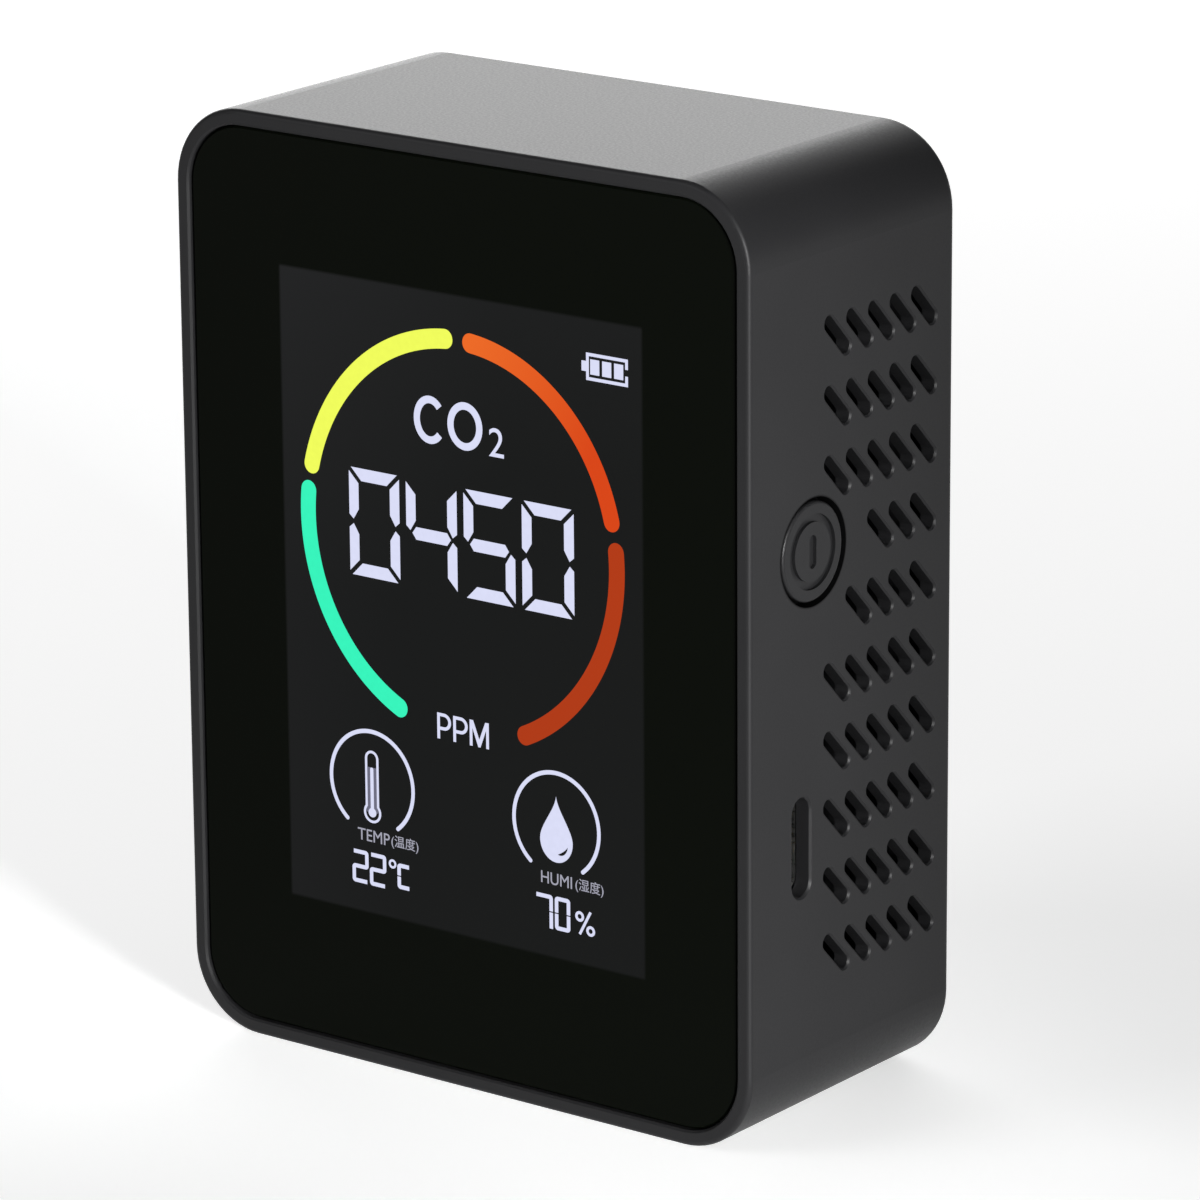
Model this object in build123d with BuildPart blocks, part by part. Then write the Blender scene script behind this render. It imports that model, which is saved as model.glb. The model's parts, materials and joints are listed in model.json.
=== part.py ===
"""Desktop carbon dioxide monitor: a deep plastic case with a smoked front lens over a display.

Millimetres. +X is the right side seen from the front, +Y points to the back and +Z up. The origin is
the middle of the flat base. From front to back the case holds the lens, the display, the main board,
the gas sensor and the battery, and a screwed cover closes the back. The power button is in the right
side: it slides inwards and carries the plunger of its switch with it.
"""

import os
from math import hypot

from build123d import *

# ---- Case ----
width = 65.5
depth = 32.0
height = 90.0
corner_radius = 7.6
wall = 1.6
front_round = 0.5
back_round = 0.8

# ---- Lens and the ledge that it is stuck to ----
rim = 1.5
rim_chamfer = 0.2
lens_recess = 0.35
lens_thickness = 1.2
lens_clearance = 0.12
lens_chamfer = 0.2
tape_thickness = 0.15
tape_setback = 0.6
ledge_thickness = 1.3

# ---- Display window in the lens, as borders from the outside of the case ----
border_side = 12.0
border_top = 14.05
border_bottom = 14.65

# ---- Display ----
film_gap = 0.2
film_border = 0.6
film_thickness = 0.2
glass_border = 1.2
glass_thickness = 1.5
glass_clearance = 0.2
backlight_gap = 0.05
backlight_thickness = 1.9
tray_wall = 1.0
tray_floor = 0.8
tray_clearance = 0.1
tray_window_border = 4.0
tray_peg_radius = 1.0
tray_peg_inset = 3.5
tray_peg_height = 0.95
tray_peg_end = 0.4
flex_width = 18.0
flex_thickness = 0.2
flex_drop = 5.4
flex_bend_radius = 1.6
flex_tail = 0.8
flex_socket_size = (20.0, 1.2, 3.0)

# ---- Main board ----
board_thickness = 1.2
board_side_gap = 3.55
board_end_gap = 2.6
board_hole_clearance = 0.1
board_notch_clearance = 0.4
post_radius = 2.1
post_hole_radius = 0.9
post_inset = 8.0

# ---- Corner bosses, rear cover and screws ----
boss_radius = 3.0
boss_hole_radius = 1.0
boss_hole_depth = 9.0
boss_inset_side = 5.95
boss_inset_end = 7.0
cover_thickness = 1.8
cover_clearance = 0.15
cover_edge_chamfer = 0.3
cover_gap = 0.1
shelf_width = 30.0
shelf_depth = 1.2
shelf_thickness = 1.0
screw_clearance = 0.02
screw_hole_clearance = 0.2
screw_setback = 0.15
cover_screw_head_radius = 1.9
cover_screw_head_height = 1.0
cover_screw_length = 7.5
board_screw_head_radius = 1.8
board_screw_head_height = 1.2
board_screw_length = 3.6
recess_length = 2.2
recess_width = 0.45
recess_depth = 0.5

# ---- Power button and its switch ----
button_below_top = 34.8
button_travel = 0.35
button_hole_radius = 5.05
button_gap = 0.4
button_setback = 0.05
button_round = 0.35
button_flange_radius = 5.6
button_flange_thickness = 0.9
button_flange_gap = 0.3
button_stem_radius = 1.25
button_stem_length = 1.4
symbol_depth = 0.35
symbol_outer_radius = 3.5
symbol_inner_radius = 2.75
symbol_bar_length = 3.1
symbol_bar_width = 1.1
collar_wall = 0.65
collar_clearance = 0.08
collar_length = 2.15
switch_size = (3.6, 2.66, 6.0)
plunger_gap = 0.05
plunger_size = (1.6, 1.3, 2.6)
plunger_depth = 0.6
plunger_clearance = 0.08
plunger_end_gap = 0.15

# ---- Charging port ----
port_z = 27.8
port_opening_length = 9.4
port_opening_width = 2.75
port_chamfer = 0.2
port_sink = 0.8
port_wall_gap = 0.2
port_shell_length = 8.94
port_shell_width = 3.26
port_shell_depth = 7.3
port_shell_wall = 0.3
port_tongue_length = 6.7
port_tongue_width = 0.7
port_tongue_reach = 5.0
port_base_depth = 1.6
port_clearance = 0.15

# ---- Vents in the two sides ----
vent_length = 5.0
vent_width = 1.4
vent_slant = -45.0
vent_chamfer = 0.18
vent_column_pitch = 3.388
vent_row_pitch = 6.449
vent_columns = 5
vent_rows = 10
vent_back_margin = 4.96
vent_rise = 0.38
vent_land = 0.6

# ---- Gas sensor ----
sensor_board_size = (33.0, 1.0, 20.0)
sensor_board_gap = 3.2
sensor_below_top = 21.0
sensor_side_offset = -6.0
sensor_can_size = (27.0, 7.5, 16.0)
sensor_can_round = 1.2
sensor_lid_thickness = 0.4
sensor_filter_size = (11.0, 0.3, 6.0)
sensor_filter_offset = -5.0
sensor_port_radius = 1.1
sensor_pin_size = 0.64
sensor_pin_pitch = 2.54
sensor_pins_per_row = 4
sensor_pin_inset = 1.6

# ---- Battery ----
cell_size = (33.0, 8.0, 44.0)
cell_round = 1.6
cell_bottom = 14.0
cell_side_offset = -1.0
cell_tape_thickness = 0.25
cell_tape_inset = 4.0
lead_radius = 0.5
lead_pitch = 2.0
lead_low_z = 6.5
lead_bend_radius = 2.4
socket_size = (7.0, 4.6, 5.5)
socket_place = (-8.0, 17.2)
socket_wall = 0.7
plug_clearance = 0.1
plug_reach = 3.0
plug_length = 5.4

# ---- Chips and small components on the back of the main board ----
controller_size = (9.0, 1.0, 9.0)
controller_place = (-7.0, 38.0)
charger_size = (4.0, 1.5, 5.0)
charger_place = (10.5, 24.0)
charger_lead_length = 1.0
charger_lead_pitch = 1.27
inductor_size = (5.0, 2.8, 5.0)
inductor_place = (6.0, 14.8)
crystal_size = (7.0, 2.0, 2.4)
crystal_place = (-7.0, 29.0)
capacitor_size = (0.8, 0.8, 1.6)
capacitor_start = (1.4, 30.5)
capacitor_pitch = (2.4, 4.0)
capacitor_grid = (3, 4)
climate_size = (3.0, 1.0, 3.0)
climate_place = (-21.5, 30.0)
climate_hole_radius = 0.6
buzzer_radius = 4.5
buzzer_height = 4.2
buzzer_hole_radius = 1.1
buzzer_z = 44.5
buzzer_board_gap = 1.0
buzzer_round = 0.4

# ---- Depths, from front to back ----
front_y = -depth / 2
back_y = depth / 2
lens_y = front_y + lens_recess
tape_y = lens_y + lens_thickness
ledge_y = tape_y + tape_thickness
inner_y = ledge_y + ledge_thickness
film_y = tape_y + film_gap
glass_y = film_y + film_thickness
glass_back_y = glass_y + glass_thickness
backlight_y = glass_back_y + backlight_gap
tray_floor_y = backlight_y + backlight_thickness + backlight_gap
tray_back_y = tray_floor_y + tray_floor
board_y = tray_back_y + tray_peg_height
board_back_y = board_y + board_thickness
cover_y = back_y - cover_thickness
boss_end_y = cover_y - cover_gap

# ---- Sideways places ----
side_x = width / 2
inner_x = side_x - wall
board_edge_x = inner_x - board_side_gap
boss_x = side_x - boss_inset_side
post_x = boss_x - post_inset

# ---- Heights ----
middle_z = height / 2
window_width = width - 2 * border_side
window_height = height - border_top - border_bottom
window_z = border_bottom + window_height / 2
button_z = height - button_below_top
corner_places = [(x, z) for x in (-boss_x, boss_x) for z in (boss_inset_end, height - boss_inset_end)]
post_places = [(x, z) for x in (-post_x, post_x) for z in (boss_inset_end, height - boss_inset_end)]

# ---- Display sizes ----
glass_width = window_width + 2 * glass_border
glass_height = window_height + 2 * glass_border
opening_width = glass_width + 2 * glass_clearance
opening_height = glass_height + 2 * glass_clearance
tray_width = glass_width + 2 * (glass_clearance + tray_wall)
tray_height = glass_height + 2 * (glass_clearance + tray_wall)
glass_bottom_z = window_z - glass_height / 2
peg_x = tray_width / 2 - tray_peg_inset
peg_rise = tray_height / 2 - tray_peg_inset
peg_places = [(x, window_z + rise) for x in (-peg_x, peg_x) for rise in (-peg_rise, peg_rise)]

# ---- Button, switch and port places ----
button_y = board_back_y + switch_size[1] / 2
cap_face_x = side_x - button_setback
flange_x = inner_x - button_flange_gap
stem_x = flange_x - button_flange_thickness
stem_end_x = stem_x - button_stem_length
plunger_tip_x = stem_end_x - plunger_gap
switch_face_x = plunger_tip_x - plunger_size[0] + plunger_depth
collar_radius = button_flange_radius + collar_clearance
port_y = board_y + port_sink
port_face_x = inner_x - port_wall_gap


def facing_front(y, x=0.0, z=0.0):
    """Plane at depth y that faces the front: its local x is X and its local y is Z."""
    return Plane(origin=(x, y, z), x_dir=(1, 0, 0), z_dir=(0, -1, 0))


def facing_right(x, y=0.0, z=0.0):
    """Plane at x that faces the right side: its local x is Y and its local y is Z."""
    return Plane(origin=(x, y, z), x_dir=(0, 1, 0), z_dir=(1, 0, 0))


def block(size, front, place, radius=0.0, mode=Mode.ADD):
    """Adds a block of (X, Y, Z) size whose front face is at depth front, centred at place (x, z)."""
    with BuildSketch(facing_front(front, place[0], place[1])) as outline:
        if radius > 0:
            RectangleRounded(size[0], size[2], radius)
        else:
            Rectangle(size[0], size[2])
    extrude(outline.sketch, amount=-size[1], mode=mode)


def rod(radius, front, length, places, mode=Mode.ADD):
    """Adds round rods along Y that start at depth front, one at each place (x, z)."""
    with BuildSketch(facing_front(front)) as outline:
        with Locations(*places):
            Circle(radius)
    extrude(outline.sketch, amount=-length, mode=mode)


def finish(piece, name):
    """Names a finished piece and writes its STEP file."""
    piece.part.label = name
    export_step(piece.part, f"parts/{name}.step")


def vent_clears(y, z):
    """Says whether a vent slot at (y, z) keeps its land to the button hole and the port opening."""
    half = (vent_length - vent_width) / 2
    for step in (-1, 0, 1):
        point_y = y + step * half * 0.5 ** 0.5
        point_z = z - step * half * 0.5 ** 0.5
        reach = vent_width / 2 + vent_land
        if hypot(point_y - button_y, point_z - button_z) < button_hole_radius + reach:
            return False
        port_gap_y = abs(point_y - port_y) - port_opening_width / 2
        port_gap_z = abs(point_z - port_z) - port_opening_length / 2
        if max(port_gap_y, port_gap_z) < reach:
            return False
    return True


def vent_places():
    """Centres (y, z) of the whole grid of vent slots in one side."""
    places = []
    for row in range(vent_rows):
        for column in range(vent_columns):
            y = back_y - vent_back_margin - column * vent_column_pitch
            z = middle_z + vent_rise + (row - (vent_rows - 1) / 2) * vent_row_pitch
            places.append((y, z))
    return places


def cut_vents(outer_x, inward, places):
    """Cuts slanted slots through a side wall, and opens each one's mouth with a small chamfer."""
    with BuildSketch(facing_right(outer_x)) as slots:
        with Locations(*places):
            SlotOverall(vent_length, vent_width, rotation=vent_slant)
    extrude(slots.sketch, amount=inward * (wall + shelf_depth), mode=Mode.SUBTRACT)
    with BuildSketch(facing_right(outer_x + inward * vent_chamfer)) as throats:
        with Locations(*places):
            SlotOverall(vent_length, vent_width, rotation=vent_slant)
    extrude(throats.sketch, amount=-inward * vent_chamfer, taper=-45, mode=Mode.SUBTRACT)


os.makedirs("parts", exist_ok=True)

# ---- Housing: one deep shell with the rim, the ledge, the posts and the bosses ----
with BuildPart() as housing:
    block((width, depth, height), front_y, (0, middle_z), corner_radius)
    fillet(housing.faces().sort_by(Axis.Y)[0].edges(), radius=front_round)
    fillet(housing.faces().sort_by(Axis.Y)[-1].edges(), radius=back_round)
    block(
        (width - 2 * wall, back_y - inner_y, height - 2 * wall),
        inner_y, (0, middle_z), corner_radius - wall, Mode.SUBTRACT,
    )
    block(
        (width - 2 * rim, ledge_y - front_y, height - 2 * rim),
        front_y, (0, middle_z), corner_radius - rim, Mode.SUBTRACT,
    )
    chamfer(housing.faces().sort_by(Axis.Y)[0].inner_wires()[0].edges(), length=rim_chamfer)
    block(
        (opening_width, ledge_thickness, opening_height),
        ledge_y, (0, window_z), 0.0, Mode.SUBTRACT,
    )
    rod(boss_radius, inner_y, boss_end_y - inner_y, corner_places)
    rod(post_radius, inner_y, board_y - inner_y, post_places)
    for shelf_z in (wall + shelf_depth / 2, height - wall - shelf_depth / 2):
        block(
            (shelf_width, shelf_thickness, shelf_depth),
            boss_end_y - shelf_thickness, (0, shelf_z),
        )
    rod(boss_hole_radius, boss_end_y - boss_hole_depth, boss_hole_depth, corner_places, Mode.SUBTRACT)
    rod(post_hole_radius, inner_y, board_y - inner_y, post_places, Mode.SUBTRACT)
    with BuildSketch(facing_right(inner_x, button_y, button_z)) as collar:
        Circle(collar_radius + collar_wall)
        Circle(collar_radius, mode=Mode.SUBTRACT)
    extrude(collar.sketch, amount=-collar_length)
    with BuildSketch(facing_right(side_x, button_y, button_z)) as button_hole:
        Circle(button_hole_radius)
    extrude(button_hole.sketch, amount=-wall, mode=Mode.SUBTRACT)
    with BuildSketch(facing_right(side_x, port_y, port_z)) as port_hole:
        SlotOverall(port_opening_length, port_opening_width, rotation=90)
    extrude(port_hole.sketch, amount=-wall, mode=Mode.SUBTRACT)
    with BuildSketch(facing_right(side_x - port_chamfer, port_y, port_z)) as port_mouth:
        SlotOverall(port_opening_length, port_opening_width, rotation=90)
    extrude(port_mouth.sketch, amount=port_chamfer, taper=-45, mode=Mode.SUBTRACT)
    cut_vents(side_x, -1, [place for place in vent_places() if vent_clears(*place)])
    cut_vents(-side_x, 1, vent_places())
finish(housing, "housing")

# ---- Lens: a smoked panel that sits just inside the rim ----
with BuildPart() as front_lens:
    lens_inset = rim + lens_clearance
    block(
        (width - 2 * lens_inset, lens_thickness, height - 2 * lens_inset),
        lens_y, (0, middle_z), corner_radius - lens_inset,
    )
    chamfer(front_lens.faces().sort_by(Axis.Y)[0].edges(), length=lens_chamfer)
finish(front_lens, "front_lens")

# ---- Lens tape: a frame between the lens and the ledge ----
with BuildPart() as lens_tape:
    tape_inset = lens_inset + tape_setback
    block(
        (width - 2 * tape_inset, tape_thickness, height - 2 * tape_inset),
        tape_y, (0, middle_z), corner_radius - tape_inset,
    )
    block(
        (opening_width + tape_setback, tape_thickness, opening_height + tape_setback),
        tape_y, (0, window_z), 0.0, Mode.SUBTRACT,
    )
finish(lens_tape, "lens_tape")

# ---- Display: film, glass, backlight, and the tray that holds them on the board ----
with BuildPart() as display_film:
    block(
        (window_width + 2 * film_border, film_thickness, window_height + 2 * film_border),
        film_y, (0, window_z),
    )
finish(display_film, "display_film")

with BuildPart() as display_glass:
    block((glass_width, glass_thickness, glass_height), glass_y, (0, window_z))
finish(display_glass, "display_glass")

with BuildPart() as backlight:
    block((glass_width, backlight_thickness, glass_height), backlight_y, (0, window_z), 1.0)
finish(backlight, "backlight")

with BuildPart() as display_tray:
    tray_y = inner_y + tray_clearance
    block((tray_width, tray_back_y - tray_y, tray_height), tray_y, (0, window_z), tray_wall)
    block(
        (opening_width, tray_floor_y - tray_y, opening_height),
        tray_y, (0, window_z), 0.0, Mode.SUBTRACT,
    )
    block(
        (window_width - 2 * tray_window_border, tray_floor, window_height - 2 * tray_window_border),
        tray_floor_y, (0, window_z), tray_window_border, Mode.SUBTRACT,
    )
    flex_slot_z = window_z - tray_height / 2 + tray_wall / 2
    block(
        (flex_width + 2 * tray_wall, backlight_y - tray_y, 2 * tray_wall),
        tray_y, (0, flex_slot_z), 0.0, Mode.SUBTRACT,
    )
    rod(tray_peg_radius + tray_wall, tray_back_y, tray_peg_height, peg_places)
    rod(tray_peg_radius, board_y, board_thickness + tray_peg_end, peg_places)
finish(display_tray, "display_tray")

# ---- Ribbon: from the foot of the glass round to its socket on the front of the board ----
flex_y = glass_back_y - flex_thickness
flex_back_y = flex_y + 2 * flex_bend_radius
with BuildPart() as display_ribbon:
    with BuildSketch(facing_right(-flex_width / 2)) as ribbon_profile:
        with BuildLine():
            drop = Line((flex_y, glass_bottom_z), (flex_y, glass_bottom_z - flex_drop))
            bend = TangentArc(drop @ 1, (flex_back_y, glass_bottom_z - flex_drop), tangent=drop % 1)
            Line(bend @ 1, (flex_back_y, glass_bottom_z - flex_drop + flex_tail))
        trace(line_width=flex_thickness)
    extrude(ribbon_profile.sketch, amount=flex_width)
finish(display_ribbon, "display_ribbon")

with BuildPart() as ribbon_socket:
    ribbon_socket_z = glass_bottom_z - flex_drop + flex_tail + flex_socket_size[2] / 2
    block(flex_socket_size, board_y - flex_socket_size[1], (0, ribbon_socket_z), 0.3)
finish(ribbon_socket, "ribbon_socket")

# ---- Main board, cut away round the bosses and the port ----
board_low_z = wall + board_end_gap
board_high_z = height - board_low_z
with BuildPart() as main_board:
    block((2 * board_edge_x, board_thickness, board_high_z - board_low_z), board_y, (0, middle_z))
    notch_reach = boss_radius + board_notch_clearance
    notch_x = boss_x - notch_reach
    notch_z = boss_inset_end + notch_reach
    notch_size = (2 * (board_edge_x - notch_x), board_thickness, 2 * (notch_z - board_low_z))
    for side in (-1, 1):
        for end_z in (board_low_z, board_high_z):
            block(notch_size, board_y, (side * board_edge_x, end_z), 0.0, Mode.SUBTRACT)
    port_notch = board_edge_x - (port_face_x - port_shell_depth - port_clearance)
    block(
        (2 * port_notch, board_thickness, port_shell_length + 2 * port_clearance),
        board_y, (board_edge_x, port_z), 0.0, Mode.SUBTRACT,
    )
    rod(
        post_hole_radius + screw_hole_clearance,
        board_y, board_thickness, post_places, Mode.SUBTRACT,
    )
    rod(
        tray_peg_radius + board_hole_clearance,
        board_y, board_thickness, peg_places, Mode.SUBTRACT,
    )
finish(main_board, "main_board")


def add_screw(head_radius, head_height, countersunk, shank_radius, length):
    """Adds a cross-head screw that points along local +Z, with its head's top face at local 0."""
    low = (Align.CENTER, Align.CENTER, Align.MIN)
    if countersunk:
        Cone(head_radius, shank_radius, head_height, align=low)
    else:
        Cylinder(head_radius, head_height, align=low)
    Cylinder(shank_radius, head_height + length, align=low)
    Box(recess_length, recess_width, recess_depth, align=low, mode=Mode.SUBTRACT)
    Box(recess_width, recess_length, recess_depth, align=low, mode=Mode.SUBTRACT)


with BuildPart() as board_screws:
    with Locations(
        *[facing_front(board_back_y + board_screw_head_height, x, z) for x, z in post_places]
    ):
        add_screw(
            board_screw_head_radius, board_screw_head_height, False,
            post_hole_radius - screw_clearance, board_screw_length,
        )
finish(board_screws, "board_screws")

# ---- Power button: cap, hidden flange and stem, with the symbol sunk into the cap ----
with BuildPart() as power_button:
    with BuildSketch(facing_right(cap_face_x, button_y, button_z)) as cap:
        Circle(button_hole_radius - button_gap)
    extrude(cap.sketch, amount=-(cap_face_x - flange_x))
    fillet(power_button.faces().sort_by(Axis.X)[-1].edges(), radius=button_round)
    with BuildSketch(facing_right(flange_x, button_y, button_z)) as flange:
        Circle(button_flange_radius)
    extrude(flange.sketch, amount=-button_flange_thickness)
    with BuildSketch(facing_right(stem_x, button_y, button_z)) as stem:
        Circle(button_stem_radius)
    extrude(stem.sketch, amount=-button_stem_length)
    with BuildSketch(facing_right(cap_face_x, button_y, button_z)) as symbol:
        Circle(symbol_outer_radius)
        Circle(symbol_inner_radius, mode=Mode.SUBTRACT)
        SlotOverall(symbol_bar_length, symbol_bar_width, rotation=90)
    extrude(symbol.sketch, amount=-symbol_depth, mode=Mode.SUBTRACT)
finish(power_button, "power_button")

# ---- Side switch behind the button ----
with BuildPart() as switch_body:
    switch_x = switch_face_x - switch_size[0] / 2
    block(switch_size, board_back_y, (switch_x, button_z))
    with BuildSketch(facing_right(switch_face_x, button_y, button_z)) as throat:
        Rectangle(plunger_size[1] + 2 * plunger_clearance, plunger_size[2] + 2 * plunger_clearance)
    extrude(
        throat.sketch,
        amount=-(plunger_depth + button_travel + plunger_end_gap),
        mode=Mode.SUBTRACT,
    )
finish(switch_body, "switch_body")

with BuildPart() as switch_plunger:
    with BuildSketch(facing_right(plunger_tip_x, button_y, button_z)) as plunger:
        Rectangle(plunger_size[1], plunger_size[2])
    extrude(plunger.sketch, amount=-plunger_size[0])
finish(switch_plunger, "switch_plunger")

# ---- Charging port: a metal shell and the insulator with its tongue ----
with BuildPart() as port_shell:
    shell_round = port_shell_width / 2 - port_shell_wall
    with BuildSketch(facing_right(port_face_x, port_y, port_z)) as shell_outline:
        RectangleRounded(port_shell_width, port_shell_length, shell_round + port_shell_wall / 2)
    extrude(shell_outline.sketch, amount=-port_shell_depth)
    with BuildSketch(facing_right(port_face_x, port_y, port_z)) as shell_mouth:
        RectangleRounded(
            port_shell_width - 2 * port_shell_wall,
            port_shell_length - 2 * port_shell_wall,
            shell_round - port_shell_wall / 2,
        )
    extrude(shell_mouth.sketch, amount=-(port_shell_depth - port_shell_wall), mode=Mode.SUBTRACT)
finish(port_shell, "port_shell")

with BuildPart() as port_tongue:
    port_floor_x = port_face_x - port_shell_depth + port_shell_wall
    with BuildSketch(facing_right(port_floor_x, port_y, port_z)) as insulator:
        RectangleRounded(
            port_shell_width - 2 * port_shell_wall,
            port_shell_length - 2 * port_shell_wall,
            shell_round - port_shell_wall / 2,
        )
    extrude(insulator.sketch, amount=port_base_depth)
    with BuildSketch(facing_right(port_floor_x, port_y, port_z)) as tongue:
        Rectangle(port_tongue_width, port_tongue_length)
    extrude(tongue.sketch, amount=port_base_depth + port_tongue_reach)
finish(port_tongue, "port_tongue")

# ---- Gas sensor: a small board on two rows of pins, a gas chamber, its lid and its filter ----
sensor_place = (sensor_side_offset, height - sensor_below_top)
sensor_board_y = board_back_y + sensor_board_gap
sensor_can_y = sensor_board_y + sensor_board_size[1]
sensor_lid_y = sensor_can_y + sensor_can_size[1]
sensor_filter_place = (sensor_place[0] + sensor_filter_offset, sensor_place[1])
with BuildPart() as sensor_board:
    block(sensor_board_size, sensor_board_y, sensor_place, 0.8)
finish(sensor_board, "sensor_board")

with BuildPart() as sensor_pins:
    pin_x = sensor_board_size[0] / 2 - sensor_pin_inset
    for side in (-1, 1):
        for pin in range(sensor_pins_per_row):
            pin_z = sensor_place[1] + (pin - (sensor_pins_per_row - 1) / 2) * sensor_pin_pitch
            pin_size = (sensor_pin_size, sensor_board_gap, sensor_pin_size)
            block(pin_size, board_back_y, (sensor_place[0] + side * pin_x, pin_z))
finish(sensor_pins, "sensor_pins")

with BuildPart() as sensor_chamber:
    block(sensor_can_size, sensor_can_y, sensor_place, sensor_can_round)
finish(sensor_chamber, "sensor_chamber")

with BuildPart() as sensor_lid:
    lid_size = (sensor_can_size[0], sensor_lid_thickness, sensor_can_size[2])
    block(lid_size, sensor_lid_y, sensor_place, sensor_can_round)
    lid_holes = [(sensor_filter_place[0] + step, sensor_place[1]) for step in (-3.0, 0.0, 3.0)]
    rod(sensor_port_radius, sensor_lid_y, sensor_lid_thickness, lid_holes, Mode.SUBTRACT)
finish(sensor_lid, "sensor_lid")

with BuildPart() as sensor_filter:
    block(sensor_filter_size, sensor_lid_y + sensor_lid_thickness, sensor_filter_place, 1.0)
finish(sensor_filter, "sensor_filter")

# ---- Battery: cell, tape to the cover, two leads, plug and socket ----
cell_tape_y = cover_y - cell_tape_thickness
cell_y = cell_tape_y - cell_size[1]
cell_place = (cell_side_offset, cell_bottom + cell_size[2] / 2)
with BuildPart() as battery_cell:
    block(cell_size, cell_y, cell_place, cell_round)
    fillet(battery_cell.faces().sort_by(Axis.Y)[0].edges(), radius=cell_round / 2)
finish(battery_cell, "battery_cell")

with BuildPart() as battery_tape:
    tape_size = (
        cell_size[0] - 2 * cell_tape_inset,
        cell_tape_thickness,
        cell_size[2] - 2 * cell_tape_inset,
    )
    block(tape_size, cell_tape_y, cell_place, 1.0)
finish(battery_tape, "battery_tape")

plug_top_z = socket_place[1] - socket_size[2] / 2 + plug_reach
plug_bottom_z = plug_top_z - plug_length
plug_y = board_back_y + socket_size[1] / 2
plug_size = (
    socket_size[0] - 2 * (socket_wall + plug_clearance),
    socket_size[1] - 2 * (socket_wall + plug_clearance),
    plug_length,
)
with BuildPart() as battery_socket:
    block(socket_size, board_back_y, socket_place)
    pocket_size = (
        socket_size[0] - 2 * socket_wall,
        socket_size[1] - 2 * socket_wall,
        plug_reach + plug_clearance,
    )
    pocket_z = socket_place[1] - socket_size[2] / 2 + pocket_size[2] / 2
    block(pocket_size, board_back_y + socket_wall, (socket_place[0], pocket_z), 0.0, Mode.SUBTRACT)
finish(battery_socket, "battery_socket")

with BuildPart() as battery_plug:
    plug_place = (socket_place[0], (plug_top_z + plug_bottom_z) / 2)
    block(plug_size, plug_y - plug_size[1] / 2, plug_place, 0.3)
finish(battery_plug, "battery_plug")

cell_mid_y = cell_y + cell_size[1] / 2
for lead_name, lead_side in (("battery_lead_red", -1), ("battery_lead_black", 1)):
    lead_x = socket_place[0] + lead_side * lead_pitch / 2
    with BuildPart() as battery_lead:
        with BuildLine() as lead_route:
            FilletPolyline(
                (lead_x, plug_y, plug_bottom_z),
                (lead_x, plug_y, lead_low_z),
                (lead_x, cell_mid_y, lead_low_z),
                (lead_x, cell_mid_y, cell_bottom),
                radius=lead_bend_radius,
            )
        with BuildSketch(Plane(origin=lead_route.line @ 0, z_dir=lead_route.line % 0)):
            Circle(lead_radius)
        sweep()
    finish(battery_lead, lead_name)

# ---- Small components on the back of the board ----
with BuildPart() as controller_chip:
    block(controller_size, board_back_y, controller_place)
    chamfer(controller_chip.faces().sort_by(Axis.Y)[-1].edges(), length=0.15)
    pin_mark = (controller_place[0] - controller_size[0] / 3, controller_place[1] + controller_size[2] / 3)
    rod(0.4, board_back_y + controller_size[1] - 0.1, 0.1, [pin_mark], Mode.SUBTRACT)
finish(controller_chip, "controller_chip")

with BuildPart() as charger_chip:
    block(charger_size, board_back_y, charger_place)
    for side in (-1, 1):
        for lead in range(4):
            lead_place = (
                charger_place[0] + side * (charger_size[0] + charger_lead_length) / 2,
                charger_place[1] + (lead - 1.5) * charger_lead_pitch,
            )
            block((charger_lead_length, 0.25, 0.4), board_back_y, lead_place)
finish(charger_chip, "charger_chip")

with BuildPart() as power_inductor:
    block(inductor_size, board_back_y, inductor_place, 1.0)
finish(power_inductor, "power_inductor")

with BuildPart() as clock_crystal:
    block(crystal_size, board_back_y, crystal_place, crystal_size[2] / 2 - 0.1)
finish(clock_crystal, "clock_crystal")

with BuildPart() as chip_capacitors:
    for column in range(capacitor_grid[0]):
        for row in range(capacitor_grid[1]):
            capacitor_place = (
                capacitor_start[0] + column * capacitor_pitch[0],
                capacitor_start[1] + row * capacitor_pitch[1],
            )
            block(capacitor_size, board_back_y, capacitor_place)
finish(chip_capacitors, "chip_capacitors")

with BuildPart() as climate_sensor:
    block(climate_size, board_back_y, climate_place)
    rod(climate_hole_radius, board_back_y + climate_size[1] / 2, climate_size[1] / 2, [climate_place],
        Mode.SUBTRACT)
finish(climate_sensor, "climate_sensor")

sensor_board_edge = sensor_side_offset + sensor_board_size[0] / 2
buzzer_place = (sensor_board_edge + buzzer_board_gap + buzzer_radius, buzzer_z)
with BuildPart() as buzzer:
    rod(buzzer_radius, board_back_y, buzzer_height, [buzzer_place])
    fillet(buzzer.faces().sort_by(Axis.Y)[-1].edges(), radius=buzzer_round)
    rod(buzzer_hole_radius, board_back_y + buzzer_height / 2, buzzer_height / 2, [buzzer_place],
        Mode.SUBTRACT)
finish(buzzer, "buzzer")

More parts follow.
